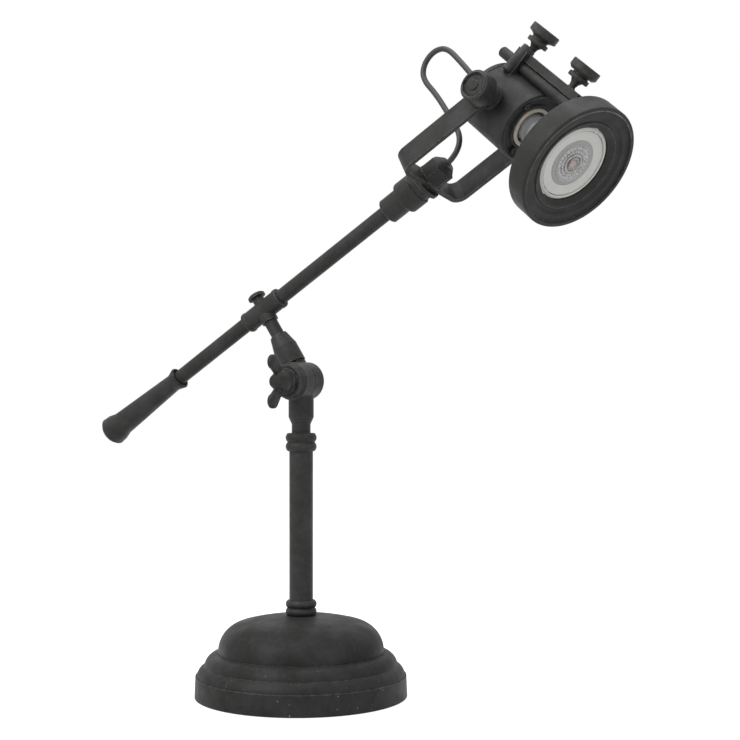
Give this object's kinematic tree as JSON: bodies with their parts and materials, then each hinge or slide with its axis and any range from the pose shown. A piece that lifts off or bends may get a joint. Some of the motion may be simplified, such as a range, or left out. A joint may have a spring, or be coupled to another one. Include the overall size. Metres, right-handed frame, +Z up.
{
  "type": "tabletop searchlight lamp",
  "caption": "Tabletop searchlight lamp: dome base, column, wing-nut knuckle, counterweighted arm, U fork and a cylindrical head with a ring round its reflector bulb.",
  "frame": {"origin": "centre of the base's underside, on the surface that the lamp stands on", "axes": "+Z up along the column; the arm lies over the X axis and rises towards the head at +X; -Y is the side of the wing nut"},
  "size_m": [0.5047, 0.18, 0.5487],
  "materials": {
    "dome_paint": "dark gunmetal patina, satin",
    "body_paint": "dark gunmetal patina, satin",
    "knob_metal": "blackened steel, satin",
    "ring_metal": "dark painted spun metal, satin",
    "steel": "blackened steel",
    "iron": "as cast",
    "felt": "dark felt",
    "fibre": "fibre",
    "grommet_rubber": "matte",
    "cable": "matte sheath",
    "porcelain": "glazed",
    "cap_metal": "bare",
    "tip_glass": "dark glass insulator",
    "bulb_glass": "silvered inside",
    "lens_glass": "clear, faceted"
  },
  "bodies": {
    "base": {"base_shell": "dome_paint", "base_cover": "steel", "base_weight": "iron", "foot_pad": "felt", "cover_screws": "steel", "cable_grommet": "grommet_rubber", "foot_collar": "body_paint", "column_tube": "body_paint", "top_collar": "body_paint", "base_washer": "steel", "base_nut": "steel", "column_nipple": "steel"},
    "knuckle": {"knuckle_lower": "body_paint", "friction_washer": "fibre", "knuckle_bolt": "steel", "wing_washer": "steel", "swivel_nut": "steel"},
    "wing": {"wing_nut": "knob_metal"},
    "neck": {"knuckle_upper": "body_paint", "neck_rod": "body_paint", "tee_collar": "body_paint"},
    "collar_screw": {"tee_screw": "knob_metal"},
    "arm": {"arm_tube": "body_paint", "counterweight": "body_paint", "small_collar": "body_paint"},
    "fork_swivel": {"large_collar": "body_paint", "fork_spacer": "body_paint", "fork": "body_paint", "gland_washer": "steel", "fork_nipple": "steel", "nipple_nut": "steel", "cable_gland": "body_paint"},
    "head": {"housing": "body_paint", "rear_cap": "body_paint", "cap_bush": "grommet_rubber", "front_plate": "body_paint", "plate_screws": "steel", "lampholder": "porcelain", "screw_shell": "cap_metal", "centre_contact": "cap_metal", "bulb_reflector": "bulb_glass", "bulb_lens": "lens_glass", "bulb_cap": "cap_metal", "bulb_tip": "tip_glass", "pivot_bosses": "body_paint", "pivot_pins": "steel", "pivot_spacers": "steel", "pivot_washers": "steel", "bracket_block": "body_paint", "rail": "body_paint", "cable_loop": "cable"},
    "pivot_knob_a": {"pivot_knob_near": "knob_metal"},
    "pivot_knob_b": {"pivot_knob_far": "knob_metal"},
    "rail_knob_a": {"rail_screw_rear": "knob_metal"},
    "rail_knob_b": {"rail_screw_front": "knob_metal"},
    "ring": {"slide_rod": "knob_metal", "ring_lug": "body_paint", "lug_screws": "steel", "lamp_ring": "ring_metal", "retaining_ring": "ring_metal"}
  },
  "joints": [
    {"name": "column_swivel", "type": "hinge", "parent": "base", "child": "knuckle", "pos_m": [0, 0, 0.2228], "axis": [0, 0, 1], "range_deg": [-170, 170]},
    {"name": "wing_turn", "type": "hinge", "parent": "knuckle", "child": "wing", "pos_m": [0, -0.026, 0.2669], "axis": [0, -1, 0], "range_deg": [-60, 300]},
    {"name": "arm_tilt", "type": "hinge", "parent": "knuckle", "child": "neck", "pos_m": [0, 0, 0.2669], "axis": [0, -1, 0], "range_deg": [-35, 50]},
    {"name": "collar_screw_turn", "type": "hinge", "parent": "neck", "child": "collar_screw", "pos_m": [-0.03975, 0.004, 0.32765], "axis": [-0.5476, 0, 0.8368], "range_deg": [-60, 300]},
    {"name": "arm_slide", "type": "slide", "parent": "neck", "child": "arm", "axis": [0.8368, 0, 0.5476], "range_m": [-0.012, 0.012]},
    {"name": "fork_roll", "type": "hinge", "parent": "arm", "child": "fork_swivel", "pos_m": [-0.03975, 0.004, 0.32765], "axis": [0.8368, 0, 0.5476], "range_deg": [-90, 90]},
    {"name": "head_tilt", "type": "hinge", "parent": "fork_swivel", "child": "head", "pos_m": [0.1937, 0.004, 0.48042], "axis": [-0.1619, -0.9553, 0.2474], "range_deg": [-40, 90], "deforming": ["cable_loop"]},
    {"name": "pivot_knob_near_turn", "type": "hinge", "parent": "head", "child": "pivot_knob_a", "pos_m": [0.1937, 0.004, 0.48042], "axis": [-0.1619, -0.9553, 0.2474], "range_deg": [-60, 300]},
    {"name": "pivot_knob_far_turn", "type": "hinge", "parent": "head", "child": "pivot_knob_b", "pos_m": [0.1937, 0.004, 0.48042], "axis": [0.1619, 0.9553, -0.2474], "range_deg": [-60, 300]},
    {"name": "rail_screw_rear_turn", "type": "hinge", "parent": "head", "child": "rail_knob_a", "pos_m": [0.18198, -0.0038, 0.49112], "axis": [0.6381, 0.0899, 0.7647], "range_deg": [-60, 300]},
    {"name": "rail_screw_front_turn", "type": "hinge", "parent": "head", "child": "rail_knob_b", "pos_m": [0.22307, -0.01918, 0.45864], "axis": [0.6381, 0.0899, 0.7647], "range_deg": [-60, 300]},
    {"name": "ring_slide", "type": "slide", "parent": "head", "child": "ring", "axis": [0.7527, -0.2817, -0.595], "range_m": [-0.008, 0.001]}
  ]
}
